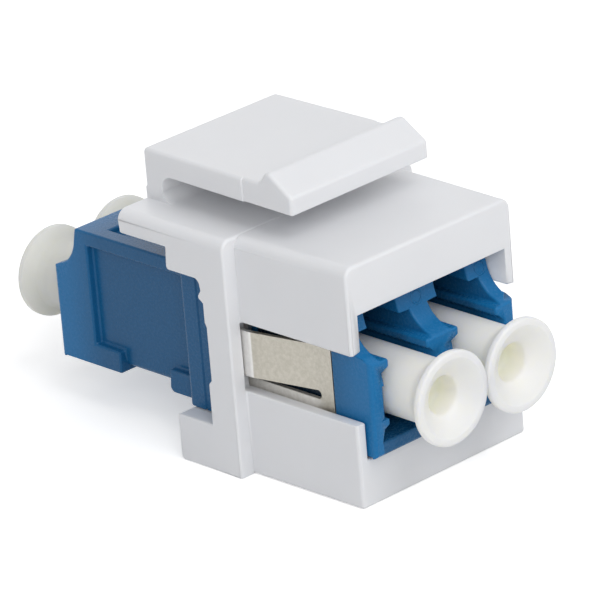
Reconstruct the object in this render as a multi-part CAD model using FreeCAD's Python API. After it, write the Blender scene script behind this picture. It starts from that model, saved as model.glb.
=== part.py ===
import FreeCAD, Part
import math
import os

# Duplex LC fibre adapter in a snap-in keystone housing.
# Frame: X to the right seen from the front, Y to the rear, Z up.  Y = 0 is the
# plane where the two adapter halves are welded, Z = 0 the housing's underside.
# All sizes in millimetres.

OVERALL_LENGTH = 37.0        # over the dust caps

# --- blue adapter, both halves together ---
PORT_PITCH = 6.25            # between the two optical axes
ADAPTER_WIDTH = 13.0
ADAPTER_HEIGHT = 9.45
AXIS_RISE = 3.93             # optical axis above the adapter's underside
END_EDGE_RADIUS = 0.35       # outer edges of the two ends
FLANGE_WIDTH = 14.5
FLANGE_THICKNESS = 3.2
FLANGE_ROUND = 0.4           # outer edges of the flange and of the belly beside it
SEAM_BEVEL = 0.1             # groove left by the weld round the flange

# stepped-back upper part of each end, seen from the side
LEDGE_HEIGHT = 6.34          # tip of the lower end above the underside
TOP_SETBACK = 2.38           # upper edge behind the lower end
SCOOP_BACK = 1.87            # corner between the two slopes of the scoop
SCOOP_RISE = 0.78
SCOOP_RADIUS = 2.3

# --- LC port section ---
PORT_WIDTH = 4.6
PORT_FLOOR = 0.94            # thickness of the floor under the plug
KEEL_GROOVE = 0.33           # extra width each side below the keel ribs
KEEL_REACH = 0.25            # ribs that centre the plug, out of the port wall
KEEL_LOW = 1.73              # start of the rib's lower slope above the underside
KEEL_TOP = 2.38
RAIL_LOW = 5.49              # rails over the plug, above the underside
RAIL_TOP = 6.34
RAIL_REACH = 0.6
HOOK_LOW = 7.78              # underside of the T-bars that the plug's latch hooks under
LATCH_SLOT_WIDTH = 2.8       # between the tips of two T-bars
LATCH_SLOT_LENGTH = 4.1      # from the adapter's end to the stop of the slot
ROOF = 0.4                   # thin roof over the latch slot
CHANNEL_STOP = 5.5           # end of the latch channel, from the weld plane
LEAD_IN = 0.45               # shallow bevel of the port's side walls at the mouth
LEAD_IN_LENGTH = 0.15
LEAD_IN_DROP = 0.8           # it ends this far below the rails
WEB = 2.4                    # wall between front and rear ports

# --- sleeve tubes and alignment sleeves ---
FERRULE_BORE = 1.25
SLEEVE_OUTER = 1.62
SLEEVE_LENGTH = 6.8
SLEEVE_SLIT = 0.3
SLEEVE_PLAY = 0.02           # radial, round the sleeve and at its ends
TUBE_OUTER = 2.9
TUBE_LIP = 0.35              # rim that keeps the sleeve in its tube
TUBE_LIP_BORE = 1.45
TUBE_MOUTH = 2.1             # funnel that leads the ferrule in

# --- recesses for the spring clip, on either half ---
RECESS_DEPTH = 0.55
RECESS_END = 11.1            # from the weld plane
RECESS_LOW = 1.53            # above the adapter's underside
RECESS_TOP = 8.43
NECK_START = 4.1             # strap passage round the underside
NECK_END = 8.8
STRAP_RECESS = 0.42
POCKET_WIDTH = 10.6          # shallow pocket in the top face
POCKET_END = 10.0
POCKET_DEPTH = 0.45

# --- spring clip ---
CLIP_SHEET = 0.3
CLIP_PLAY = 0.1              # round the clip in its recess
CLIP_SEAT = 0.02             # between strap and belly
CLIP_STAND = 0.14            # between the sides and the recess floor
CLIP_BEND = 0.35             # inner radius of the two bends
TONGUE_HEIGHT = 3.1
TONGUE_LOW = 3.5             # above the adapter's underside
TONGUE_SLOT = 0.6            # slots above and below the tongue
TONGUE_LENGTH = 5.9
TONGUE_FLARE = 1.03          # its free end stands out of the sheet
TONGUE_FLAT = 1.0            # last stretch, bent parallel to the sheet
TONGUE_BEND = 0.5            # inner radius of that bend
TONGUE_PLAY = 0.1            # before the rear end of the housing's window

# --- keystone housing ---
HOUSING_HEIGHT = 16.2
FACE_WIDTH = 14.7
BODY_WIDTH = 15.0            # the front block widens to this at the shoulder
SHOULDER_REACH = 4.2         # shoulder's face before the weld plane
BLOCK_LENGTH = 9.7           # front face to shoulder
SHOULDER_WIDTH = 17.1
SLIDE_PLAY = 0.1             # round the adapter in its passage
HEAD_PLAY = 0.2              # above the adapter
SILL = 3.17                  # floor of the passage
WINDOW_LOW = 5.72
WINDOW_TOP = 10.4
WINDOW_POCKET = 0.6          # the window reaches this far behind the shoulder's face
FLANGE_PLAY = 0.1            # flange against the housing
FOOT_REAR = 1.3              # rear end of the foot, behind the weld plane
HOOD_REAR = 1.15             # rear end of the hood over the flange
HOOD_PLAY = 0.45             # hood above the adapter's top
PLATE_REAR = 5.35
PLATE_THICKNESS = 1.55
EDGE_SETBACK = 0.12          # side wall's rear edge before the flange's seat
EDGE_NOTCH = 0.3             # shallow notch in that edge
EDGE_NOTCH_LOW = 6.0
EDGE_NOTCH_TOP = 10.1
EDGE_NUB = 0.25              # small nub above that notch
EDGE_NUB_RISE = 1.8          # above the notch
EDGE_NUB_HEIGHT = 0.9
CORE_WALL = 1.2              # walls left round the hollow over the adapter
CATCH_WIDTH = 10.0           # groove in the underside for the panel's edge
CATCH_LENGTH = 2.0
CATCH_DEPTH = 1.0
TOP_ROUND = 0.75
FACE_ROUND = 0.22
BOTTOM_ROUND = 0.25
SHOULDER_ROUND = 0.2
FOOT_ROUND = 0.35
HOOD_ROUND = 0.25

# --- latch arm, sprung about its root ---
ARM_WIDTH = 12.2             # at the front and at the step; it tapers rearwards from both
ARM_STEP = 0.1               # small step in either side
ARM_STEP_Y = -3.8
ROOT_WIDTH = 11.8
ARM_FRONT = 8.25             # front end before the weld plane
ARM_GAP = 1.8                # free height between housing and arm
ARM_THICKNESS = 1.65
ARM_WALL = 1.5               # upright wall at the root, where it is thinnest
RIDGE_FRONT = 1.2            # height of the arm's front end
RIDGE_HEIGHT = 0.95          # ridge above the arm
RIDGE_BACK = 2.15            # crest behind the front end
RIDGE_FOOT = 0.75            # foot of the ridge behind the crest
ROOT_FIT = 0.03              # round the root's turning surface
ARM_ROUND = 0.3
CREST_ROUND = 0.5

# --- dust caps ---
CAP_RIM = 6.2                # diameter of the trumpet's rim
CAP_BARREL = 4.25
CAP_LEAD = 0.2               # chamfer at the barrel's inner end
CAP_BORE = 2.5
CAP_CONE = 5.3               # mouth of the cone in the rim
CAP_CONE_DEPTH = 0.95
CAP_RIM_EDGE = 0.45
CAP_RIM_BEVEL = 0.12
CAP_FLARE = 0.62             # slope behind the rim, and the gentler one down to the barrel
CAP_FLARE_RISE = 0.26
CAP_FLARE_END = 1.2
CAP_STANDOUT = 3.75          # rim before the adapter's end
CAP_DRAWN = 0.4              # the rear caps sit this much further out
CAP_GRIP = 0.03              # radial, on the sleeve tube
CAP_FOOT = 0.7               # inner end before the web

# --- places that follow ---
ADAPTER_LENGTH = OVERALL_LENGTH - 2 * CAP_STANDOUT - CAP_DRAWN
ADAPTER_Z = SILL + SLIDE_PLAY
ADAPTER_TOP = ADAPTER_Z + ADAPTER_HEIGHT
AXIS_Z = ADAPTER_Z + AXIS_RISE
END = ADAPTER_LENGTH / 2
FLANGE_HALF = FLANGE_THICKNESS / 2
SHOULDER_Y = -SHOULDER_REACH
FRONT_REACH = SHOULDER_REACH + BLOCK_LENGTH
SEAT_Y = -FLANGE_HALF - FLANGE_PLAY
WINDOW_REAR = SHOULDER_Y + WINDOW_POCKET
CEILING = ADAPTER_TOP + HEAD_PLAY
HOOD_Z = ADAPTER_TOP + HOOD_PLAY
PLATE_Z = HOUSING_HEIGHT - PLATE_THICKNESS
TUBE_END = SLEEVE_LENGTH / 2 + SLEEVE_PLAY + TUBE_LIP
ARM_Z = HOUSING_HEIGHT + ARM_GAP
ROOT_RADIUS = ARM_WALL / 2
ROOT_Y = PLATE_REAR - ROOT_RADIUS
ROOT_Z = HOUSING_HEIGHT + ARM_GAP / 2
CAP_FACE = END + CAP_STANDOUT
CAP_INNER = WEB / 2 + CAP_FOOT

FAR = 100.0                  # past every face, for cutting tools


def point(axis, u, v, w):
    """A point with in-plane coordinates u, v and w along the axis."""
    return {"X": FreeCAD.Vector(w, u, v), "Y": FreeCAD.Vector(u, w, v),
            "Z": FreeCAD.Vector(u, v, w)}[axis]


def outline(corners, axis, w):
    """Closed wire through (u, v) or (u, v, radius) corners, rounded where a
    radius is given."""
    flat = [FreeCAD.Vector(c[0], c[1], 0) for c in corners]
    ends, arcs = [], []
    for i, c in enumerate(corners):
        here, before, after = flat[i], flat[i - 1], flat[(i + 1) % len(flat)]
        radius = c[2] if len(c) > 2 else 0
        if not radius:
            ends.append((here, here))
            arcs.append(None)
            continue
        to_before = (before - here).normalize()
        to_after = (after - here).normalize()
        half = to_before.getAngle(to_after) / 2
        run = radius / math.tan(half)
        middle = here + (to_before + to_after).normalize() * (radius / math.sin(half) - radius)
        ends.append((here + to_before * run, here + to_after * run))
        arcs.append(middle)
    edges = []
    for i, (first, last) in enumerate(ends):
        place = [point(axis, p.x, p.y, w) for p in (first, last)]
        if arcs[i]:
            middle = point(axis, arcs[i].x, arcs[i].y, w)
            edges.append(Part.Arc(place[0], middle, place[1]).toShape())
        following = ends[(i + 1) % len(ends)][0]
        following = point(axis, following.x, following.y, w)
        if place[1].distanceToPoint(following) > 1e-6:
            edges.append(Part.LineSegment(place[1], following).toShape())
    return Part.Wire(edges)


def prism(corners, axis, start, stop):
    """Solid with the given outline across the axis, from start to stop."""
    face = Part.Face(outline(corners, axis, start))
    return face.extrude(point(axis, 0, 0, stop - start))


def block(x, y, z):
    """Box between pairs of limits."""
    return Part.makeBox(x[1] - x[0], y[1] - y[0], z[1] - z[0], FreeCAD.Vector(x[0], y[0], z[0]))


def turned(profile, x, z):
    """Solid of revolution about a line along Y, from (radius, y) points."""
    wire = outline(profile, "Z", 0)
    solid = Part.Face(wire).revolve(FreeCAD.Vector(), FreeCAD.Vector(0, 1, 0), 360)
    return solid.translated(FreeCAD.Vector(x, 0, z))


def rod(radius, x, z, start, stop):
    """Cylinder along Y."""
    return Part.makeCylinder(radius, stop - start, FreeCAD.Vector(x, start, z),
                             FreeCAD.Vector(0, 1, 0))


def both_sides(shape):
    return [shape, shape.mirror(FreeCAD.Vector(), FreeCAD.Vector(1, 0, 0))]


def edges_along(shape, axis, z):
    """Edges at height z that run mostly along X or Y."""
    other = {"X": "Y", "Y": "X"}[axis]
    found = []
    for edge in shape.Edges:
        first, last = edge.Vertexes[0], edge.Vertexes[-1]
        run, rest = (abs(getattr(first, a) - getattr(last, a)) for a in (axis, other))
        if near(first.Z, z) and near(last.Z, z) and run > rest:
            found.append(edge)
    return found


def near(a, b):
    return abs(a - b) < 1e-4


# ---------------------------------------------------------------- adapter

def port_section(x):
    """Outline of one LC port: plug space with keel ribs below and rails
    above, and the channel of the plug's latch over the rails."""
    half = PORT_WIDTH / 2
    low = ADAPTER_Z
    right = [
        (half + KEEL_GROOVE, low + PORT_FLOOR),
        (half + KEEL_GROOVE, low + KEEL_LOW),
        (half - KEEL_REACH, low + KEEL_LOW + (KEEL_GROOVE + KEEL_REACH) / 2),
        (half - KEEL_REACH, low + KEEL_TOP),
        (half, low + KEEL_TOP),
        (half, low + RAIL_LOW),
        (half - RAIL_REACH, low + RAIL_LOW + RAIL_REACH / 2),
        (half - RAIL_REACH, low + RAIL_TOP),
    ]
    left = [(-u, v) for u, v in reversed(right)]
    return [(x + u, v) for u, v in right + left]


def port_cut(x):
    """Everything taken out of a front half for one port."""
    half = PORT_WIDTH / 2
    slot = LATCH_SLOT_WIDTH / 2
    low = ADAPTER_Z
    plug = prism(port_section(x), "Y", -FAR, -WEB / 2)
    channel = block((x - half, x + half), (-FAR, -CHANNEL_STOP), (low + RAIL_TOP, low + HOOK_LOW))
    latch = block((x - slot, x + slot), (-FAR, -END + LATCH_SLOT_LENGTH),
                  (low + HOOK_LOW, ADAPTER_TOP - ROOF))
    wedge = [(half, -END), (half + LEAD_IN, -END), (half, -END + LEAD_IN_LENGTH)]
    mouth = [prism([(x + side * u, v) for u, v in wedge], "Z", low + KEEL_TOP,
                   low + RAIL_LOW - LEAD_IN_DROP)
             for side in (-1, 1)]
    return plug.fuse([channel, latch] + mouth)


def clip_recess():
    """Space for the clip: a recess in either side of a front half and a neck
    round its belly, rounded to suit the clip's bends."""
    floor = ADAPTER_WIDTH / 2 - RECESS_DEPTH
    low = ADAPTER_Z
    side = block((-FAR, -floor), (-RECESS_END, -FLANGE_HALF), (low + RECESS_LOW, low + RECESS_TOP))
    belly = low + STRAP_RECESS
    bend = CLIP_BEND - CLIP_SEAT
    kept = prism([(-floor, FAR), (-floor, belly, bend), (floor, belly, bend), (floor, FAR)],
                 "Y", -NECK_END, -NECK_START)
    neck = block((-FAR, FAR), (-NECK_END, -NECK_START), (-FAR, low + RECESS_LOW)).cut(kept)
    return both_sides(side) + [neck]


def end_scoop():
    """What the stepped-back end profile takes off a front half."""
    ledge = ADAPTER_Z + LEDGE_HEIGHT
    corners = [(-END, ledge), (-END + SCOOP_BACK, ledge + SCOOP_RISE, SCOOP_RADIUS),
               (-END + TOP_SETBACK, ADAPTER_TOP), (-END + TOP_SETBACK, FAR),
               (-FAR, FAR), (-FAR, ledge)]
    return prism(corners, "X", -FAR, FAR)


def sleeve_tube(x):
    """Tube on the web that holds half of an alignment sleeve."""
    return rod(TUBE_OUTER / 2, x, AXIS_Z, -TUBE_END, 0)


def sleeve_bore(x):
    """Room for half of a sleeve, behind a funnel for the ferrule."""
    seat = -TUBE_END + TUBE_LIP
    wide = rod(SLEEVE_OUTER / 2 + SLEEVE_PLAY, x, AXIS_Z, seat, 0)
    funnel = turned([(0, seat), (TUBE_LIP_BORE / 2, seat), (TUBE_MOUTH / 2, -TUBE_END),
                     (0, -TUBE_END)], x, AXIS_Z)
    return wide.fuse(funnel)


def adapter_half():
    """Front half of the adapter; the rear half is the same moulding."""
    half = ADAPTER_WIDTH / 2
    body = block((-half, half), (-END, 0), (ADAPTER_Z, ADAPTER_TOP))
    outer = [e for e in body.Edges if all(near(v.Y, -END) for v in e.Vertexes)
             and not all(near(v.Z, ADAPTER_TOP) for v in e.Vertexes)]
    body = body.makeFillet(END_EDGE_RADIUS, outer)
    body = body.cut([end_scoop()] + clip_recess())
    belly = [e for e in edges_along(body, "X", ADAPTER_Z)
             if near(e.Vertexes[0].Y, -NECK_START)]
    body = body.makeFillet(FLANGE_ROUND, belly)
    pocket = block((-POCKET_WIDTH / 2, POCKET_WIDTH / 2), (-POCKET_END, -FLANGE_HALF),
                   (ADAPTER_TOP - POCKET_DEPTH, FAR))
    ports = [port_cut(side * PORT_PITCH / 2) for side in (-1, 1)]
    body = body.cut([pocket] + ports)
    rim = FLANGE_WIDTH / 2
    flange = block((-rim, rim), (-FLANGE_HALF, 0), (ADAPTER_Z, ADAPTER_TOP))
    outer = [e for e in flange.Edges if all(near(v.Y, -FLANGE_HALF) for v in e.Vertexes)
             and not all(near(v.Z, ADAPTER_TOP) for v in e.Vertexes)]
    flange = flange.makeFillet(FLANGE_ROUND, outer)
    seam = [e for e in flange.Edges if all(near(v.Y, 0) for v in e.Vertexes)]
    flange = flange.makeChamfer(SEAM_BEVEL, seam).cut(ports)
    tubes = [sleeve_tube(side * PORT_PITCH / 2) for side in (-1, 1)]
    bores = [sleeve_bore(side * PORT_PITCH / 2) for side in (-1, 1)]
    return body.fuse([flange] + tubes).cut(bores).removeSplitter()


def alignment_sleeve(x):
    """Split ceramic sleeve that lines up the two ferrules."""
    ends = (-SLEEVE_LENGTH / 2, SLEEVE_LENGTH / 2)
    ring = rod(SLEEVE_OUTER / 2, x, AXIS_Z, *ends).cut(rod(FERRULE_BORE / 2, x, AXIS_Z, *ends))
    slit = block((x - SLEEVE_SLIT / 2, x + SLEEVE_SLIT / 2), ends, (AXIS_Z, AXIS_Z + SLEEVE_OUTER))
    return ring.cut(slit)


# ------------------------------------------------------------------- clip

def spring_clip():
    """Sheet-steel saddle under the front half; a tongue on either side
    flares out and stops before the rear end of the housing's window."""
    inner = ADAPTER_WIDTH / 2 - RECESS_DEPTH + CLIP_STAND
    outer = inner + CLIP_SHEET
    bottom = ADAPTER_Z + STRAP_RECESS - CLIP_SEAT
    low = ADAPTER_Z + RECESS_LOW + CLIP_PLAY
    top = ADAPTER_Z + RECESS_TOP - CLIP_PLAY
    front, rear = -RECESS_END + CLIP_PLAY, -FLANGE_HALF - CLIP_PLAY
    bend = CLIP_BEND + CLIP_SHEET
    saddle = prism([(-outer, top), (-outer, bottom - CLIP_SHEET, bend),
                    (outer, bottom - CLIP_SHEET, bend), (outer, top)], "Y", front, rear)
    saddle = saddle.cut(prism([(-inner, FAR), (-inner, bottom, CLIP_BEND),
                               (inner, bottom, CLIP_BEND), (inner, FAR)], "Y", front, rear))
    before = block((-FAR, FAR), (front, -NECK_END + CLIP_PLAY), (-FAR, low))
    behind = block((-FAR, FAR), (-NECK_START - CLIP_PLAY, rear), (-FAR, low))
    saddle = saddle.cut([before, behind])
    # slots above and below the tongue, joined by the opening it was bent from
    tongue_end = WINDOW_REAR - TONGUE_PLAY
    tongue_root = tongue_end - TONGUE_LENGTH
    z0 = ADAPTER_Z + TONGUE_LOW
    z1 = z0 + TONGUE_HEIGHT
    opening = block((-FAR, FAR), (tongue_root, tongue_end + TONGUE_PLAY),
                    (z0 - TONGUE_SLOT, z1 + TONGUE_SLOT))
    slot_ends = [Part.makeCylinder(TONGUE_SLOT / 2, 2 * FAR, FreeCAD.Vector(-FAR, tongue_root, z),
                                   FreeCAD.Vector(1, 0, 0))
                 for z in (z0 - TONGUE_SLOT / 2, z1 + TONGUE_SLOT / 2)]
    saddle = saddle.cut([opening] + slot_ends)
    flare = TONGUE_FLARE
    bent = tongue_end - TONGUE_FLAT
    plan = [(-outer, tongue_root), (-outer - flare, bent, TONGUE_BEND + CLIP_SHEET),
            (-outer - flare, tongue_end), (-inner - flare, tongue_end),
            (-inner - flare, bent, TONGUE_BEND), (-inner, tongue_root)]
    tongues = both_sides(prism(plan, "Z", z0, z1))
    return saddle.fuse(tongues).removeSplitter()


# ---------------------------------------------------------------- housing

def front_block():
    """The part that fills the panel opening; slightly wider at the rear."""
    front, rear = FACE_WIDTH / 2, BODY_WIDTH / 2
    plan = [(-front, -FRONT_REACH), (front, -FRONT_REACH), (rear, SHOULDER_Y), (-rear, SHOULDER_Y)]
    body = prism(plan, "Z", 0, HOUSING_HEIGHT)
    body = body.makeFillet(TOP_ROUND, edges_along(body, "Y", HOUSING_HEIGHT))
    body = body.makeFillet(BOTTOM_ROUND, edges_along(body, "Y", 0))
    face = [e for e in body.Edges if all(near(v.Y, -FRONT_REACH) for v in e.Vertexes)]
    return body.makeFillet(FACE_ROUND, face)


def shoulder():
    """Side profile of everything behind the panel: shoulder, side walls,
    foot below, hood and plate above, with the notched rear edge."""
    edge = SEAT_Y - EDGE_SETBACK
    shallow = EDGE_NOTCH / 2
    nub, nub_z = EDGE_NUB_HEIGHT / 2, EDGE_NOTCH_TOP + EDGE_NUB_RISE
    profile = [
        (SHOULDER_Y, 0), (FOOT_REAR, 0, FOOT_ROUND), (FOOT_REAR, SILL, FOOT_ROUND / 2), (edge, SILL),
        (edge, EDGE_NOTCH_LOW), (edge - EDGE_NOTCH, EDGE_NOTCH_LOW + EDGE_NOTCH),
        (edge - EDGE_NOTCH, EDGE_NOTCH_TOP - EDGE_NOTCH), (edge - shallow, EDGE_NOTCH_TOP),
        (edge - shallow, nub_z - nub), (edge + EDGE_NUB, nub_z, nub / 2),
        (edge, nub_z + nub), (edge, HOOD_Z, 2 * HOOD_ROUND), (HOOD_REAR, HOOD_Z, HOOD_ROUND),
        (HOOD_REAR, PLATE_Z), (PLATE_REAR, PLATE_Z), (PLATE_REAR, HOUSING_HEIGHT),
        (SHOULDER_Y, HOUSING_HEIGHT),
    ]
    half = SHOULDER_WIDTH / 2
    body = prism(profile, "X", -half, half)
    body = body.makeFillet(TOP_ROUND, edges_along(body, "Y", HOUSING_HEIGHT))
    front = [e for e in body.Edges if all(near(v.Y, SHOULDER_Y) for v in e.Vertexes)
             and near(e.Vertexes[0].X, e.Vertexes[1].X)]
    return body.makeFillet(SHOULDER_ROUND, front)


def passage():
    """What the adapter, its flange and its clip need inside the housing."""
    half = ADAPTER_WIDTH / 2 + SLIDE_PLAY
    rim = FLANGE_WIDTH / 2 + FLANGE_PLAY
    through = block((-half, half), (-FAR, FAR), (SILL, CEILING))
    flange_room = block((-rim, rim), (SEAT_Y, FAR), (SILL, HOOD_Z))
    windows = both_sides(block((-FAR, -half), (-FAR, SHOULDER_Y), (WINDOW_LOW, WINDOW_TOP)))
    windows += both_sides(block((-BODY_WIDTH / 2, -half), (SHOULDER_Y, WINDOW_REAR),
                                (WINDOW_LOW, WINDOW_TOP)))
    core = block((-half + CORE_WALL, half - CORE_WALL), (-FRONT_REACH + CORE_WALL, HOOD_REAR),
                 (CEILING, PLATE_Z))
    return [through, flange_room, core] + windows


def root_axis(radius, grow):
    """Cylinder round the latch arm's turning axis, across the arm."""
    return Part.makeCylinder(radius, ROOT_WIDTH + 2 * grow,
                             FreeCAD.Vector(-ROOT_WIDTH / 2 - grow, ROOT_Y, ROOT_Z),
                             FreeCAD.Vector(1, 0, 0))


def arm_root():
    """Lower half of the root wall, with the seat of the turning surface."""
    bend = ARM_GAP / 2
    inner = PLATE_REAR - ARM_WALL
    corners = [(PLATE_REAR, PLATE_Z), (PLATE_REAR, ROOT_Z), (inner, ROOT_Z),
               (inner, HOUSING_HEIGHT, bend), (inner - bend, HOUSING_HEIGHT),
               (inner - bend, PLATE_Z)]
    wall = prism(corners, "X", -ROOT_WIDTH / 2, ROOT_WIDTH / 2)
    return wall.cut(root_axis(ROOT_RADIUS + ROOT_FIT, FAR / 10))


def keystone_housing():
    body = front_block().fuse([shoulder()])
    catch = block((-CATCH_WIDTH / 2, CATCH_WIDTH / 2), (SHOULDER_Y - CATCH_LENGTH, SHOULDER_Y),
                  (-FAR, CATCH_DEPTH))
    body = body.cut(passage() + [catch])
    return body.fuse(arm_root()).removeSplitter()


def latch_arm():
    """Sprung arm: upper half of the root wall, long tongue and the ridge
    that snaps behind the panel."""
    bend = ARM_GAP / 2
    inner = PLATE_REAR - ARM_WALL
    top = ARM_Z + ARM_THICKNESS
    crest = -ARM_FRONT + RIDGE_BACK
    corners = [
        (PLATE_REAR, ROOT_Z), (PLATE_REAR, top, ARM_ROUND),
        (crest + RIDGE_FOOT, top, ARM_ROUND), (crest, top + RIDGE_HEIGHT, CREST_ROUND),
        (-ARM_FRONT, ARM_Z + RIDGE_FRONT, ARM_ROUND), (-ARM_FRONT, ARM_Z),
        (inner, ARM_Z, bend), (inner, ROOT_Z),
    ]
    wide, narrow = ARM_WIDTH / 2, ROOT_WIDTH / 2
    side = [(wide, -ARM_FRONT), (wide - ARM_STEP, ARM_STEP_Y), (wide, ARM_STEP_Y),
            (narrow, inner), (narrow, PLATE_REAR)]
    plan = side + [(-u, v) for u, v in reversed(side)]
    arm = prism(corners, "X", -wide, wide).common(prism(plan, "Z", 0, FAR))
    return arm.fuse(root_axis(ROOT_RADIUS, 0)).removeSplitter()


# -------------------------------------------------------------- dust caps

def dust_cap(x):
    """Front dust cap: trumpet with a rim, hollow barrel that grips the
    sleeve tube."""
    rim, barrel, hole = CAP_RIM / 2, CAP_BARREL / 2, CAP_BORE / 2
    face = -CAP_FACE
    back = face + CAP_RIM_EDGE
    grip = TUBE_OUTER / 2 + CAP_GRIP
    grip_end = -TUBE_END - CAP_GRIP
    profile = [
        (hole, face + CAP_CONE_DEPTH), (CAP_CONE / 2, face), (rim - CAP_RIM_BEVEL, face),
        (rim, face + CAP_RIM_BEVEL), (rim, back),
        (barrel + CAP_FLARE_RISE, back + CAP_FLARE), (barrel, back + CAP_FLARE_END),
        (barrel, -CAP_INNER - CAP_LEAD), (barrel - CAP_LEAD, -CAP_INNER),
        (grip, -CAP_INNER), (grip, grip_end), (hole, grip_end),
    ]
    return turned(profile, x, AXIS_Z)


def at_rear(shape):
    """The same piece turned half round the vertical axis."""
    return shape.rotated(FreeCAD.Vector(), FreeCAD.Vector(0, 0, 1), 180)


def build():
    left, right = -PORT_PITCH / 2, PORT_PITCH / 2
    front = adapter_half()
    drawn = FreeCAD.Vector(0, CAP_DRAWN, 0)
    return {
        "keystone_housing": keystone_housing(),
        "latch_arm": latch_arm(),
        "adapter_front_half": front,
        "adapter_rear_half": at_rear(front),
        "alignment_sleeve_left": alignment_sleeve(left),
        "alignment_sleeve_right": alignment_sleeve(right),
        "spring_clip": spring_clip(),
        "dust_cap_front_left": dust_cap(left),
        "dust_cap_front_right": dust_cap(right),
        "dust_cap_rear_left": at_rear(dust_cap(right)).translated(drawn),
        "dust_cap_rear_right": at_rear(dust_cap(left)).translated(drawn),
    }


os.makedirs("parts", exist_ok=True)
for name, shape in build().items():
    shape.exportStep("parts/%s.step" % name)
    print(name, len(shape.Solids), "solid", shape.isValid(), round(shape.Volume, 3), "mm3")
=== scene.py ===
import bpy
import bmesh
from math import asin, cos, pi, radians, sin, tan
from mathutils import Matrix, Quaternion, Vector
from mathutils.bvhtree import BVHTree
from mathutils.kdtree import KDTree


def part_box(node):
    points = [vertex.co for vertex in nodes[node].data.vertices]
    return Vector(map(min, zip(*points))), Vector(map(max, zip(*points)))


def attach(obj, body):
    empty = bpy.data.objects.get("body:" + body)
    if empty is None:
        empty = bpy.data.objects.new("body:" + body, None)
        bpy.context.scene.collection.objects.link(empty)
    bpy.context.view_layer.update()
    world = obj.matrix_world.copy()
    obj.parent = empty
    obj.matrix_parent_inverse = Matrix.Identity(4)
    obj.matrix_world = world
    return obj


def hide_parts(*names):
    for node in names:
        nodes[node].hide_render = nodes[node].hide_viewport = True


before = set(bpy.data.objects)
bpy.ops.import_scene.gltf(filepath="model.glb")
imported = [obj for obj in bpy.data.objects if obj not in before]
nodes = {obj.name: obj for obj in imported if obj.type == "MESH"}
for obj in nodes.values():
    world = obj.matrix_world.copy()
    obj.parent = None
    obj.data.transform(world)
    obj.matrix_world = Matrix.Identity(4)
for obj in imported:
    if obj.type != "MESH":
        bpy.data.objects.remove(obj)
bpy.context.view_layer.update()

# ---------------------------------------------------------------- the bench and its light
# The adapter lies on a white bench top, seen from above its front left corner through a long lens.
# Five soft lamps and a white room light it, and the bench keeps its shadow.

MM = 0.001
AIM = Vector((0.39, -1.32, 8.54)) * MM      # the point that the lens looks at
REACH = 357.1 * MM                          # how far from that point it stands
TURN, RISE, TILT = radians(-42.78), radians(22.34), radians(4.83)
FOCAL_LENGTH, SENSOR_WIDTH = 334.2, 36.0    # in millimetres
ROOM_GLOW = 0.41
BENCH_HALF, BENCH_DROP = 1.5, 0.02 * MM
BENCH_LIFT = 0.42                           # what the bench shines where the camera sees it


class Sock:
    """A number on its way through a finish: arithmetic on it writes the Math nodes."""

    def __init__(self, finish, link):
        self.finish, self.link = finish, link

    def math(self, operation, *values):
        sockets = dict(enumerate(values))
        return self.finish.node("ShaderNodeMath", {"operation": operation}, sockets)["Value"]

    def __add__(self, other):
        return self.math("ADD", self, other)

    def __radd__(self, other):
        return self.math("ADD", other, self)

    def __sub__(self, other):
        return self.math("SUBTRACT", self, other)

    def __rsub__(self, other):
        return self.math("SUBTRACT", other, self)

    def __mul__(self, other):
        return self.math("MULTIPLY", self, other)

    def __rmul__(self, other):
        return self.math("MULTIPLY", other, self)

    def __pow__(self, other):
        return self.math("POWER", self, other)

    def __abs__(self):
        return self.math("ABSOLUTE", self)

    def least(self, other):
        return self.math("MINIMUM", self, other)

    def most(self, other):
        return self.math("MAXIMUM", self, other)

    def ease(self, start, end):
        """0 up to start, 1 from end on, and a smooth step between them; end may be the lower one."""
        settings = {"interpolation_type": "SMOOTHSTEP"}
        sockets = {"Value": self, "From Min": start, "From Max": end, "To Min": 0.0, "To Max": 1.0}
        return self.finish.node("ShaderNodeMapRange", settings, sockets)["Result"]

    def within(self, low, high, soft):
        """1 from low to high and 0 outside, fading over soft on either side of both."""
        return self.ease(low - soft, low + soft) * (1 - self.ease(high - soft, high + soft))


class Made:
    """A node that has been added; indexing it gives one of its outputs."""

    def __init__(self, finish, node):
        self.finish, self.node = finish, node

    def __getitem__(self, name):
        for output in self.node.outputs:
            if output.enabled and output.name == name:
                return Sock(self.finish, output)
        raise KeyError(name)


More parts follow.
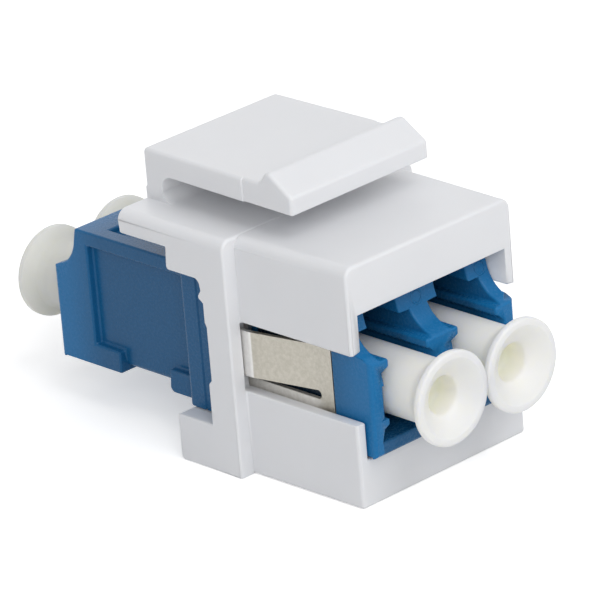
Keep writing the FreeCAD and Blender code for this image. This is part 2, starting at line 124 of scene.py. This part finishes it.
class Finish:
    """A material, written as a tree of nodes."""

    def __init__(self, name, tree=None):
        if tree is None:
            self.material = bpy.data.materials.new(name)
            self.material.use_nodes = True
            tree = self.material.node_tree
        self.tree = tree
        self.tree.nodes.clear()

    def node(self, kind, settings=None, sockets=None):
        """Adds one node: its type, its settings, then the values or links of its sockets."""
        node = self.tree.nodes.new(kind)
        for name, value in (settings or {}).items():
            setattr(node, name, value)
        for name, value in (sockets or {}).items():
            socket = node.inputs[name] if isinstance(name, int) else next(
                s for s in node.inputs if s.enabled and s.name == name)
            if isinstance(value, Sock):
                self.tree.links.new(value.link, socket)
            elif isinstance(value, tuple) and len(value) == 3 and socket.type == "RGBA":
                socket.default_value = (*value, 1.0)
            else:
                socket.default_value = value
        return Made(self, node)

    def place(self):
        """Where on the adapter a spot lies, in metres."""
        return self.node("ShaderNodeTexCoord")["Object"]

    def spot(self):
        """The same, to be split by indexing with X, Y or Z."""
        return self.node("ShaderNodeSeparateXYZ", None, {"Vector": self.place()})

    def noise(self, size, detail=2.0, roughness=0.5):
        """Soft noise whose grains are size across, in metres."""
        sockets = {"Vector": self.place(), "Scale": 1.0 / size, "Detail": detail, "Roughness": roughness}
        return self.node("ShaderNodeTexNoise", {"noise_dimensions": "3D"}, sockets)["Fac"]

    def blend(self, factor, first, second):
        """Colour first where factor is 0, second where it is 1."""
        sockets = {"Factor": factor, "A": first, "B": second}
        return self.node("ShaderNodeMix", {"data_type": "RGBA"}, sockets)["Result"]

    def bump(self, height, strength, depth, after=None):
        """Relief of a height from 0 to 1, laid on an earlier relief if there is one."""
        sockets = {"Strength": strength, "Distance": depth, "Height": height}
        if after is not None:
            sockets["Normal"] = after
        return self.node("ShaderNodeBump", None, sockets)["Normal"]

    def output(self, shader):
        self.node("ShaderNodeOutputMaterial", {"target": "ALL"}, {"Surface": shader})
        return self.material

    def plastic(self, **sockets):
        """Closes the finish with one surface shader; an underscore stands for a space in a name."""
        named = {name.replace("_", " "): value for name, value in sockets.items()}
        return self.output(self.node("ShaderNodeBsdfPrincipled", None, named)["BSDF"])


def put(name, data):
    """Adds an object with this mesh, lens or lamp to the scene."""
    thing = bpy.data.objects.new(name, data)
    bpy.context.scene.collection.objects.link(thing)
    return thing


towards = -Vector((sin(TURN) * cos(RISE), -cos(TURN) * cos(RISE), sin(RISE)))
lens = bpy.data.cameras.new("bench_camera")
lens.lens, lens.sensor_width = FOCAL_LENGTH, SENSOR_WIDTH
lens.clip_start, lens.clip_end = 0.01, 20.0
camera = put("bench_camera", lens)
camera.location = AIM - towards * REACH
camera.rotation_mode = "QUATERNION"
camera.rotation_quaternion = towards.to_track_quat("-Z", "Y") @ Quaternion((0, 0, 1), -TILT)
bpy.context.scene.camera = camera


def seen(finish):
    """1 for rays that show the backing itself: from the camera, or by way of gloss or glass."""
    path = finish.node("ShaderNodeLightPath")
    return path["Is Camera Ray"].most(path["Is Glossy Ray"].most(path["Is Transmission Ray"]))


world = bpy.data.worlds.new("white_room")
world.use_nodes = True
bpy.context.scene.world = world
room = Finish("white_room", world.node_tree)
glow = room.node("ShaderNodeBackground", None,
                 {"Color": (0.97, 0.98, 1.0), "Strength": ROOM_GLOW})["Background"]
plain = room.node("ShaderNodeBackground", None,
                  {"Color": (1.0, 1.0, 1.0), "Strength": 1.0})["Background"]
backing = room.node("ShaderNodeMixShader", None, {0: seen(room), 1: glow, 2: plain})["Shader"]
room.node("ShaderNodeOutputWorld", None, {"Surface": backing})


def lamp(name, place, size, watts):
    """A square soft lamp at place, in metres, that faces the adapter."""
    light = bpy.data.lights.new(name, "AREA")
    light.shape, light.size, light.energy = "SQUARE", size, watts
    holder = put(name, light)
    holder.location = place
    holder.rotation_mode = "QUATERNION"
    holder.rotation_quaternion = (AIM - Vector(place)).to_track_quat("-Z", "Y")


lamp("key_lamp", (0.0, -0.40, 0.55), 0.50, 1.70)
lamp("near_lamp", (-0.38, -0.41, 0.28), 0.30, 0.86)
lamp("low_lamp", (0.05, -0.60, 0.07), 0.25, 0.24)
lamp("top_lamp", (0.0, 0.0, 0.65), 0.50, 0.34)
lamp("fill_lamp", (0.30, 0.50, 0.35), 0.45, 0.26)

bench_mesh = bpy.data.meshes.new("bench_top")
bench_shape = bmesh.new()
bmesh.ops.create_grid(bench_shape, x_segments=8, y_segments=8, size=BENCH_HALF)
for corner in bench_shape.verts:
    corner.co.z = -BENCH_DROP
bench_shape.to_mesh(bench_mesh)
bench_shape.free()
bench = put("bench_top", bench_mesh)
paper = Finish("bench_paper")
grain = paper.noise(0.6 * MM, 3.0)
paper_colour = paper.blend(grain, (0.875, 0.875, 0.875), (0.885, 0.885, 0.885))
sheet = paper.node("ShaderNodeBsdfDiffuse", None, {"Color": paper_colour, "Roughness": 0.5})["BSDF"]
lift = paper.node("ShaderNodeEmission", None,
                  {"Color": (1.0, 1.0, 1.0), "Strength": BENCH_LIFT})["Emission"]
lifted = paper.node("ShaderNodeAddShader", None, {0: sheet, 1: lift})["Shader"]
surface = paper.node("ShaderNodeMixShader", None, {0: seen(paper), 1: sheet, 2: lifted})["Shader"]
bench_mesh.materials.append(paper.output(surface))

# ---------------------------------------------------------------- keystone housing
# The white housing snaps into a panel and carries the adapter in its hollow.
# Injection moulded in a slightly translucent plastic, with a fine spark-eroded skin on its faces
# and its sharp edges just broken, as a mould leaves them.

HOUSING_ROUND = 0.15 * MM
TOP_FOOT = 15.2 * MM        # from here up the housing has its roundings already
SHARP = 32                  # an edge that turns by more degrees than this is rounded
SHORT_EDGE = 0.1 * MM       # the steps of an arc are shorter, and would twist if they were rounded
ASIDE = 0.35                # sine of the turn from which a neighbour runs off sideways
ROOM_SHARE = 0.42           # the most that a rounding takes of the room beside its edge
LEAST_SHARE = 0.08          # an edge that could have less of its rounding than this stays crisp
ROUNDING_STEPS = 3
TRIES = 8
SLIVER = 2e-12              # in square metres; smaller triangles can't be seen
OFF_SURFACE = 0.7           # the most a rounding leaves the plain surface, in shares of its radius
TURNED_OVER = -0.3          # cosine of the angle from which a triangle faces the wrong way


def turns(edge, degrees):
    """Whether the two faces of an edge meet at more than this angle."""
    return len(edge.link_faces) == 2 and edge.calc_face_angle() > radians(degrees)


def room_at(edge):
    """How far an edge may be rounded before it reaches its neighbours."""
    room = 1.0
    along = (edge.verts[1].co - edge.verts[0].co).normalized()
    for face in edge.link_faces:
        for corner in edge.verts:
            for other in corner.link_edges:
                if other is not edge and face in other.link_faces:
                    across = other.other_vert(corner).co - corner.co
                    reach = (across - along * across.dot(along)).length
                    if reach > ASIDE * across.length:
                        room = min(room, reach)
    return room


def faults(mesh, surface, radius):
    """Corners of the triangles that a rounding has turned over or pushed off the surface."""
    mesh.calc_loop_triangles()
    found = []
    for piece in mesh.loop_triangles:
        spots = [mesh.vertices[n].co for n in piece.vertices]
        _, facing, _, away = surface.find_nearest((spots[0] + spots[1] + spots[2]) / 3)
        normal = (spots[1] - spots[0]).cross(spots[2] - spots[0])
        lost = away > OFF_SURFACE * radius or normal.normalized().dot(facing) < TURNED_OVER
        if normal.length > 2 * SLIVER and lost:
            found += spots
    return found


def rounding_draft(name, mesh, radius):
    """An object that rounds the weighted edges of a mesh and evens out its shading."""
    draft = put(name + "_draft", mesh)
    bevel = draft.modifiers.new("rounding", "BEVEL")
    bevel.limit_method, bevel.width, bevel.segments = "WEIGHT", radius, ROUNDING_STEPS
    bevel.use_clamp_overlap = False
    weld = draft.modifiers.new("weld", "WELD")
    weld.merge_threshold = 0.001 * MM
    even = draft.modifiers.new("even", "WEIGHTED_NORMAL")
    even.keep_sharp, even.weight = True, 95
    return draft


def finished(draft):
    """The plain mesh that an object's modifiers make."""
    bpy.context.view_layer.update()
    return bpy.data.meshes.new_from_object(draft.evaluated_get(bpy.context.evaluated_depsgraph_get()))


def leave_crisp(shape, weight, spots):
    """Takes the rounding from the edges at the two corners nearest to each of these spots."""
    corners = KDTree(len(shape.verts))
    for corner in shape.verts:
        corners.insert(corner.co, corner.index)
    corners.balance()
    shape.verts.ensure_lookup_table()
    for spot in spots:
        for _, index, _ in corners.find_n(spot, 2):
            for edge in shape.verts[index].link_edges:
                edge[weight] = 0.0


def moulded(name, node, radius, finish, body, rounding=None):
    """A copy of a node with its sharp edges rounded off, as a mould leaves them.
    Where there is no room for a rounding, it is left out and the edge stays crisp."""
    shape = bmesh.new()
    shape.from_mesh(nodes[node].data)
    bmesh.ops.remove_doubles(shape, verts=shape.verts, dist=0.0001 * MM)
    bmesh.ops.dissolve_limit(shape, angle_limit=0.005, verts=shape.verts, edges=shape.edges)
    surface = BVHTree.FromBMesh(shape)
    weight = shape.edges.layers.float.new("bevel_weight_edge")
    for edge in shape.edges:
        if turns(edge, SHARP) and edge.calc_length() > SHORT_EDGE:
            edge[weight] = min(rounding(edge) if rounding else 1.0, ROOM_SHARE * room_at(edge) / radius)
    for face in shape.faces:
        face.smooth = True
    mesh = bpy.data.meshes.new(name)
    draft = rounding_draft(name, mesh, radius)
    for _ in range(TRIES):
        for edge in shape.edges:
            crisp = turns(edge, SHARP) and edge[weight] < LEAST_SHARE
            edge.smooth = not crisp
            if crisp:
                edge[weight] = 0.0
        shape.to_mesh(mesh)
        made = finished(draft)
        wrong = faults(made, surface, radius)
        if not wrong:
            break
        leave_crisp(shape, weight, wrong)
    shape.free()
    bpy.data.objects.remove(draft)
    made.name = name
    made.materials.clear()
    made.materials.append(finish)
    piece = put(name, made)
    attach(piece, body)
    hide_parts(node)


def below_top(edge):
    """1 for an edge under the housing's top, 0 for one that is rounded already."""
    return 1.0 if (edge.verts[0].co.z + edge.verts[1].co.z) / 2 < TOP_FOOT else 0.0


white = Finish("housing_white")
flow = white.noise(4.5 * MM)
skin = white.noise(0.16 * MM, 3.0, 0.6)
speck = white.noise(0.6 * MM)
white.plastic(
    Base_Color=white.blend(flow, (0.775, 0.782, 0.802), (0.805, 0.810, 0.828)),
    Roughness=0.36 + speck * 0.12,
    Normal=white.bump(skin * 0.6 + speck * 0.4, 0.12, 0.04 * MM),
    IOR=1.5, Specular_IOR_Level=0.45,
    Subsurface_Weight=0.25, Subsurface_Radius=(1.0, 0.92, 0.86), Subsurface_Scale=0.7 * MM)
moulded("housing_body", "keystone_housing", HOUSING_ROUND, white.material,
        "adapter", below_top)

# ---------------------------------------------------------------- latch arm
# The sprung arm along the housing's top, with a thumb ridge at its front end, lets the panel go.
# Moulded in one with the housing, of the same white plastic; its root flexes when it is pressed.

ARM_FRONT, ARM_REAR = -8.25, 5.35       # the arm's sizes are in millimetres
ARM_UNDER, ARM_TOP = 18.0, 19.65
FRONT_TOP = 19.20
CREST_Y, CREST_Z = -6.10, 20.60         # the thumb ridge
RIDGE_FOOT_Y = -5.35
STEP_Y, STEP_RUN, STEP_DEPTH = -3.80, 0.02, 0.10
ARM_HALF, ROOT_HALF = 6.10, 5.90
WALL_INNER = 3.85                       # inner face of the upright wall at the root
ROOT_Y, ROOT_Z, ROOT_SEAT = 4.60, 17.10, 0.779
CHEEK_TOP = 16.942                      # the housing's cheeks hold the root up to here
SIDE_ROUND = 0.26
LEAST_ROUND = 0.04                      # an outer corner's radius shrinks by the inset, down to this,
HOLLOW_GAIN = 0.3                       # and a hollow one's grows by this share of it
CORNER_STEPS, ROOT_STEPS, SIDE_STEPS = 8, 16, 4


def half_width(y):
    """The arm tapers rearwards, from its front end and again from the small step in its sides."""
    if y < STEP_Y - 0.001:
        return ARM_HALF - STEP_DEPTH * (y - ARM_FRONT) / (STEP_Y - ARM_FRONT)
    if y > WALL_INNER:
        return ROOT_HALF
    return ARM_HALF - (ARM_HALF - ROOT_HALF) * (y - STEP_Y) / (WALL_INNER - STEP_Y)


def arm_outline(inset):
    """The arm seen from the side, as (y, z) points, with its edges drawn in by inset."""
    corners = [   # y, z, radius, and how much of the inset the side after it takes
        (ARM_REAR, ROOT_Z, 0.0, 0.6),
        (ARM_REAR, ARM_TOP, 0.3, 1.0),
        (STEP_Y, ARM_TOP, 0.0, 1.0),
        (STEP_Y - STEP_RUN, ARM_TOP, 0.0, 1.0),
        (RIDGE_FOOT_Y, ARM_TOP, 0.3, 1.0),
        (CREST_Y, CREST_Z, 0.5, 1.0),
        (ARM_FRONT, FRONT_TOP, 0.3, 1.0),
        (ARM_FRONT, ARM_UNDER, 0.12, 0.35),
        (STEP_Y - STEP_RUN, ARM_UNDER, 0.0, 0.35),
        (STEP_Y, ARM_UNDER, 0.0, 0.35),
        (WALL_INNER, ARM_UNDER, 0.9, 0.2),
        (WALL_INNER, ROOT_Z, 0.0, 0.0),
    ]
    points, count = [], len(corners)
    for n, (y, z, radius, share) in enumerate(corners):
        here = Vector((y, z))
        back = (Vector(corners[n - 1][:2]) - here).normalized()
        ahead = (Vector(corners[(n + 1) % count][:2]) - here).normalized()
        in_back = Vector((back.y, -back.x)) * inset * corners[n - 1][3]
        in_ahead = Vector((-ahead.y, ahead.x)) * inset * share
        if n == 0:
            points.append(tuple(here + in_ahead))
            continue
        if n == count - 1:
            points.append(tuple(here + in_back))
            continue
        turn = back.x * ahead.y - back.y * ahead.x
        if abs(turn) < 1e-6:
            spot = here + in_ahead
        else:
            off = in_ahead - in_back
            spot = here + in_back + back * ((off.x * ahead.y - off.y * ahead.x) / turn)
        if radius == 0.0:
            points.append(tuple(spot))
            continue
        hollow = turn > 0
        radius = radius + inset * HOLLOW_GAIN if hollow else max(radius - inset, LEAST_ROUND)
        half = back.angle(ahead) / 2
        centre = spot + (back + ahead).normalized() * radius / sin(half)
        start = spot + back * radius / tan(half) - centre
        stop = spot + ahead * radius / tan(half) - centre
        sweep = start.angle(stop)
        for k in range(CORNER_STEPS + 1):
            way = k / CORNER_STEPS
            spoke = (start * sin((1 - way) * sweep) + stop * sin(way * sweep)) / sin(sweep)
            points.append(tuple(centre + spoke))
    drop = asin((ROOT_Z - CHEEK_TOP) / ROOT_SEAT)
    for k in range(ROOT_STEPS + 1):
        angle = pi + drop + (pi - 2 * drop) * k / ROOT_STEPS
        points.append((ROOT_Y + ROOT_SEAT * cos(angle), ROOT_Z + ROOT_SEAT * sin(angle)))
    return points


def latch_arm_mesh():
    """The outline drawn from side to side, with rounded edges along both sides."""
    shape = bmesh.new()
    rings = []
    quarter = [radians(90) * (1 - k / SIDE_STEPS) for k in range(SIDE_STEPS + 1)]
    for side in (-1, 1):
        for turn in (quarter if side < 0 else reversed(quarter)):
            inset, depth = SIDE_ROUND * (1 - cos(turn)), SIDE_ROUND * (1 - sin(turn))
            ring = []
            for y, z in arm_outline(inset):
                ring.append(shape.verts.new(Vector((side * (half_width(y) - depth), y, z)) * MM))
            rings.append(ring)
    count = len(rings[0])
    for first, second in zip(rings, rings[1:]):
        for n in range(count):
            shape.faces.new((first[n], first[(n + 1) % count], second[(n + 1) % count], second[n]))
    for ring in (rings[0], rings[-1]):      # a side is flat before the step and flat behind it
        at_step = [n for n, corner in enumerate(ring) if abs(corner.co.y / MM - STEP_Y) < 1.5 * STEP_RUN]
        top_rear, top_front, low_front, low_rear = at_step
        shape.faces.new(ring[top_front:low_front + 1])
        shape.faces.new((ring[top_rear], ring[top_front], ring[low_front], ring[low_rear]))
        shape.faces.new(ring[low_rear:] + ring[:top_rear + 1])
    bmesh.ops.remove_doubles(shape, verts=shape.verts, dist=0.001 * MM)
    bmesh.ops.recalc_face_normals(shape, faces=shape.faces)
    for edge in shape.edges:
        edge.smooth = not turns(edge, 35)
    for face in shape.faces:
        face.smooth = True
    mesh = bpy.data.meshes.new("latch_arm_body")
    shape.to_mesh(mesh)
    shape.free()
    return mesh


arm = put("latch_arm_body", latch_arm_mesh())
settle = arm.modifiers.new("even", "WEIGHTED_NORMAL")
settle.keep_sharp, settle.weight = True, 50
arm.data.materials.append(white.material)
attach(arm, "latch")
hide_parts("latch_arm")

# ---------------------------------------------------------------- the two halves of the adapter
# The blue adapter: two like mouldings set back to back and welded round the middle of the flange.
# Glass-smooth plastic, its colour painted lighter where light shines through the thin walls at either end,
# as painted light, and darker down the ports and on the neck under the clip's strip, as painted shade; the
# ejector pins have left a round mark on each latch bar.

ADAPTER_ROUND = 0.16 * MM
PORT_PITCH, PORT_AXIS_Z = 6.25 * MM, 7.20 * MM
MARK_X, MARK_Z = 5.75 * MM, 11.60 * MM
MARK_INNER, MARK_OUTER = 0.37 * MM, 0.49 * MM
# Painted shade: the neck that the clip's strip covers is painted nearly black.
NECK_INNER, NECK_OUTER = 5.75 * MM, 6.10 * MM       # the neck that the clip's strip covers
NECK_Y = -7.6 * MM

blue = Finish("adapter_blue")
blue_flow = blue.noise(5.0 * MM)
blue_skin = blue.noise(0.22 * MM, 3.0, 0.55)
blue_spot = blue.spot()
aside, out, up = abs(blue_spot["X"]), abs(blue_spot["Y"]), blue_spot["Z"]

# Painted shade: the blue is darkened down the ports and on their floors, where shade falls.
port_shade = 1 - abs(aside - PORT_PITCH / 2).ease(2.66 * MM, 2.70 * MM)
port_wall_shade = out.ease(13.2 * MM, 11.9 * MM) * up.ease(9.7 * MM, 9.3 * MM)
port_floor_shade = up.ease(4.9 * MM, 4.3 * MM)
thin = out.ease(9.5 * MM, 14.3 * MM) * (1 - port_shade * port_wall_shade.most(port_floor_shade))
# A shaded and a lit copy of the blue: the lit one is painted light, where light shines through the thin
# walls at either end; the ports keep the shaded one.
shaded_blue = blue.blend(blue_flow, (0.008, 0.094, 0.226), (0.011, 0.104, 0.251))
lit_blue = blue.blend(blue_flow, (0.010, 0.158, 0.385), (0.013, 0.172, 0.415))
blue_with_painted_light = blue.blend(thin, shaded_blue, lit_blue)
# Painted shade on the neck under the clip's strip.
neck_shade = aside.within(NECK_INNER, NECK_OUTER, 0.05 * MM)
neck_shade *= abs(blue_spot["Y"] - NECK_Y).ease(3.6 * MM, 3.5 * MM)
neck_shade_blue = (0.004, 0.016, 0.034)

from_mark_x = aside.least(abs(aside - MARK_X))      # the marks stand over the middle and both sides
from_mark_z = up - MARK_Z
from_mark = (from_mark_x * from_mark_x + from_mark_z * from_mark_z) ** 0.5
mark = from_mark.within(MARK_INNER, MARK_OUTER, 0.03 * MM) * out.ease(11.9 * MM, 12.0 * MM)
blue_relief = blue.bump(1 - mark, 0.8, 0.06 * MM, blue.bump(blue_skin, 0.12, 0.04 * MM))

blue.plastic(
    Base_Color=blue.blend(neck_shade, blue_with_painted_light, neck_shade_blue),
    Roughness=0.20 + blue_skin * 0.14, Normal=blue_relief, IOR=1.5, Specular_IOR_Level=0.20)
moulded("adapter_front_body", "adapter_front_half", ADAPTER_ROUND, blue.material, "adapter")
moulded("adapter_rear_body", "adapter_rear_half", ADAPTER_ROUND, blue.material, "adapter")

# ---------------------------------------------------------------- alignment sleeves
# A split zirconia sleeve in each channel lines up the two ferrules.
# Ground ceramic, held captive in the moulded tubes where the two halves of the adapter meet.


def wear(node, material):
    """Gives a node of the frame its finish."""
    for spot in nodes[node].material_slots:
        spot.material = material
    if not nodes[node].material_slots:
        nodes[node].data.materials.append(material)


ceramic = Finish("sleeve_ceramic")
ceramic_skin = ceramic.noise(0.3 * MM)
ceramic.plastic(
    Base_Color=ceramic.blend(ceramic_skin, (0.83, 0.82, 0.79), (0.87, 0.86, 0.83)),
    Roughness=0.2 + ceramic_skin * 0.1, Normal=ceramic.bump(ceramic_skin, 0.05, 0.02 * MM), IOR=2.1)
wear("alignment_sleeve_left", ceramic.material)
wear("alignment_sleeve_right", ceramic.material)

# ---------------------------------------------------------------- spring clip
# A saddle of thin stainless strip round the adapter; its tongues spring out into the housing's windows.
# Pressed and bent from rolled strip: its faces keep a fine grey mottle. The bent ends of the tongues are
# painted paler, a painted highlight, and the strip below them is painted paler, painted light against the
# window's shade, and made less metallic.

TONGUE_LOW, TONGUE_HIGH = 6.72 * MM, 9.92 * MM

steel = Finish("clip_steel")
mottle = steel.noise(0.28 * MM, 4.0, 0.7).ease(0.30, 0.70)
steel_grain = steel.noise(0.12 * MM, 3.0, 0.6)
steel_spot = steel.spot()
tongue = steel_spot["Z"].within(TONGUE_LOW, TONGUE_HIGH, 0.04 * MM)
# Painted highlight: the bent ends of the tongues are painted paler.
bent_end_highlight = steel_spot["Y"].ease(-4.95 * MM, -4.80 * MM) * tongue
# Painted light: the strip below the tongues is painted paler to lift it out of the window's shade, and it is
# made less metallic.
strip = steel_spot["Z"].ease(6.30 * MM, 6.05 * MM) * steel_spot["Y"].ease(-10.4 * MM, -9.2 * MM)
steel_tone = steel.blend(mottle, (0.455, 0.43, 0.37), (0.535, 0.51, 0.45))
strip_painted_light_tone = steel.blend(mottle, (0.74, 0.72, 0.67), (0.83, 0.81, 0.77))
painted_highlight_tone = steel.blend(mottle, (0.76, 0.75, 0.73), (0.82, 0.81, 0.79))
steel.plastic(
    Base_Color=steel.blend(bent_end_highlight, steel.blend(strip, steel_tone, strip_painted_light_tone), painted_highlight_tone),
    Metallic=0.9 - strip * 0.65, Roughness=0.40 + steel_grain * 0.18,
    Normal=steel.bump(steel_grain, 0.25, 0.04 * MM))
wear("spring_clip", steel.material)

# ---------------------------------------------------------------- dust caps
# Four ivory caps close the ports: a flared head with a dished mouth on a round plug.
# Moulded in soft polyethylene, so they are a little waxy and light soaks into the edge of the head;
# the two at the rear are painted greyer, as painted shade, and each bore is painted paler and yellower, as
# painted light.

CAP_PROFILE = [   # distance from the axis, distance behind the rim, radius of the corner, in millimetres
    (0.0, 2.70, 0.0), (1.25, 2.70, 0.45), (1.25, 0.95, 0.40), (2.62, 0.0, 0.05), (3.10, 0.0, 0.15),
    (3.10, 0.45, 0.14), (2.385, 1.07, 0.45), (2.125, 1.65, 1.2), (2.125, 16.40, 0.15), (1.48, 16.40, 0.05),
    (1.48, 14.50, 0.0), (1.25, 14.50, 0.0), (1.25, 4.40, 0.20), (0.0, 4.40, 0.0),
]
STEPS_ROUND, STEPS_IN_CORNER = 96, 6

ivory = Finish("cap_ivory")
ivory_flow = ivory.noise(2.0 * MM)
ivory_skin = ivory.noise(0.25 * MM, 3.0, 0.6)
ivory_spot = ivory.spot()
cap_x, cap_z = abs(ivory_spot["X"]) - PORT_PITCH / 2, ivory_spot["Z"] - PORT_AXIS_Z
off_axis = (cap_x * cap_x + cap_z * cap_z) ** 0.5
# Painted light: the bore is painted paler and yellower, like light glowing through the plastic.
bore_glow = abs(ivory_spot["Y"]).ease(17.6 * MM, 15.2 * MM) * (1 - off_axis.ease(1.3 * MM, 1.5 * MM))
# Painted shade: the two rear caps are painted greyer.
rear_cap_shade = ivory_spot["Y"].ease(-1.0 * MM, 1.0 * MM)
own_ivory = ivory.blend(ivory_flow, (0.840, 0.828, 0.790), (0.865, 0.853, 0.815))
shaded_ivory = ivory.blend(ivory_flow, (0.660, 0.662, 0.635), (0.690, 0.692, 0.665))
ivory.plastic(
    Base_Color=ivory.blend(bore_glow, ivory.blend(rear_cap_shade, own_ivory, shaded_ivory), (0.99, 0.955, 0.80)),
    Roughness=0.36 + ivory_skin * 0.14, Normal=ivory.bump(ivory_skin, 0.10, 0.04 * MM),
    IOR=1.5, Specular_IOR_Level=0.40,
    Subsurface_Weight=1.0, Subsurface_Radius=(1.0, 0.95, 0.72), Subsurface_Scale=1.8 * MM)


def lathe():
    """Turns a profile, drawn as (radius, depth), round an axis along Y."""
    tree = bpy.data.node_groups.new("cap_lathe", "GeometryNodeTree")
    face = tree.interface
    face.new_socket("Geometry", in_out="OUTPUT", socket_type="NodeSocketGeometry")
    for label, kind in (("Profile", "Geometry"), ("Steps round", "Int"), ("Steps in a corner", "Int"),
                        ("Rim centre", "Vector"), ("Facing", "Float"), ("Finish", "Material")):
        face.new_socket(label, in_out="INPUT", socket_type="NodeSocket" + kind)

    def add(kind, settings=None, **sockets):
        """Adds one node; n0 and n1 stand for its first and second socket."""
        node = tree.nodes.new(kind)
        for name, value in (settings or {}).items():
            setattr(node, name, value)
        for name, value in sockets.items():
            name = name.replace("_", " ")
            socket = node.inputs[int(name[1:])] if name[0] == "n" and name[1:].isdigit() else next(
                s for s in node.inputs if s.enabled and s.name == name)
            if isinstance(value, bpy.types.NodeSocket):
                tree.links.new(value, socket)
            else:
                socket.default_value = value
        return node

    def math(operation, first, second=0.0):
        return add("ShaderNodeMath", {"operation": operation}, n0=first, n1=second).outputs[0]

    given = add("NodeGroupInput").outputs
    corner = add("GeometryNodeInputNamedAttribute", {"data_type": "FLOAT"}, Name="rounding")
    line = add("GeometryNodeMeshToCurve", Mesh=given["Profile"]).outputs["Curve"]
    soft = add("GeometryNodeFilletCurve", {"mode": "POLY"}, Curve=line, Radius=corner.outputs["Attribute"],
               Count=given["Steps in a corner"], Limit_Radius=True).outputs["Curve"]
    size = add("GeometryNodeAttributeDomainSize", {"component": "CURVE"}, Geometry=soft)
    rows = size.outputs["Point Count"]
    columns = math("ADD", given["Steps round"], 1.0)
    net = add("GeometryNodeMeshGrid", Size_X=1.0, Size_Y=1.0, Vertices_X=columns, Vertices_Y=rows)
    place = add("GeometryNodeInputPosition").outputs[0]
    here = add("ShaderNodeSeparateXYZ", Vector=place).outputs
    angle = math("MULTIPLY", math("ADD", here["X"], 0.5), 2 * pi)
    row = math("ROUND", math("MULTIPLY", math("ADD", here["Y"], 0.5), math("SUBTRACT", rows, 1.0)))
    spot = add("GeometryNodeSampleIndex", {"data_type": "FLOAT_VECTOR", "domain": "POINT"},
               Geometry=soft, Value=place, Index=row)
    spot = add("ShaderNodeSeparateXYZ", Vector=spot.outputs["Value"]).outputs
    turned = add("ShaderNodeCombineXYZ", X=math("MULTIPLY", spot["X"], math("COSINE", angle)),
                 Y=math("MULTIPLY", spot["Y"], given["Facing"]),
                 Z=math("MULTIPLY", spot["X"], math("SINE", angle))).outputs[0]
    placed = add("ShaderNodeVectorMath", {"operation": "ADD"}, n0=turned, n1=given["Rim centre"]).outputs[0]
    moved = add("GeometryNodeSetPosition", Geometry=net.outputs["Mesh"], Position=placed).outputs["Geometry"]
    closed = add("GeometryNodeMergeByDistance", Geometry=moved, Distance=0.001 * MM).outputs["Geometry"]
    smooth = add("GeometryNodeSetShadeSmooth", Geometry=closed).outputs["Geometry"]
    real = add("GeometryNodeRealizeInstances", Geometry=smooth).outputs["Geometry"]
    dressed = add("GeometryNodeSetMaterial", Geometry=real, Material=given["Finish"]).outputs["Geometry"]
    add("NodeGroupOutput", Geometry=dressed)
    return tree


def cap_profile(name):
    """The profile as a chain of points that carry the radius of their corner."""
    drawing = bpy.data.meshes.new(name + "_profile")
    points = [(away * MM, depth * MM, 0.0) for away, depth, _ in CAP_PROFILE]
    drawing.from_pydata(points, [(n, n + 1) for n in range(len(points) - 1)], [])
    rounding = drawing.attributes.new("rounding", "FLOAT", "POINT")
    rounding.data.foreach_set("value", [radius * MM for _, _, radius in CAP_PROFILE])
    return drawing


def dust_cap(name, node, body, lathe_tree):
    """Turns the cap that stands for a node, with its rim where the node has it."""
    low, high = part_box(node)
    facing = 1.0 if low.y < 0 else -1.0
    rim = ((low.x + high.x) / 2, low.y if facing > 0 else high.y, (low.z + high.z) / 2)
    draft = put(name + "_draft", cap_profile(name))
    turning = draft.modifiers.new("lathe", "NODES")
    turning.node_group = lathe_tree
    sockets = lathe_tree.interface.items_tree
    inputs = {socket.name: socket.identifier for socket in sockets if socket.in_out == "INPUT"}
    for label, value in (("Steps round", STEPS_ROUND), ("Steps in a corner", STEPS_IN_CORNER),
                         ("Rim centre", rim), ("Facing", facing), ("Finish", ivory.material)):
        turning[inputs[label]] = value
    made = finished(draft)
    draft.modifiers.clear()
    bpy.data.objects.remove(draft)
    shape = bmesh.new()
    shape.from_mesh(made)
    bmesh.ops.recalc_face_normals(shape, faces=shape.faces)
    for edge in shape.edges:
        edge.smooth = not turns(edge, 40)
    shape.to_mesh(made)
    shape.free()
    made.name = name
    piece = put(name, made)
    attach(piece, body)
    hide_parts(node)


turned_cap = lathe()
for place in ("front_left", "front_right", "rear_left", "rear_right"):
    dust_cap("cap_" + place, "dust_cap_" + place, "cap_" + place, turned_cap)

# ---------------------------------------------------------------- view transform
# The view transform stays plain.

bpy.context.scene.view_settings.view_transform = "Standard"
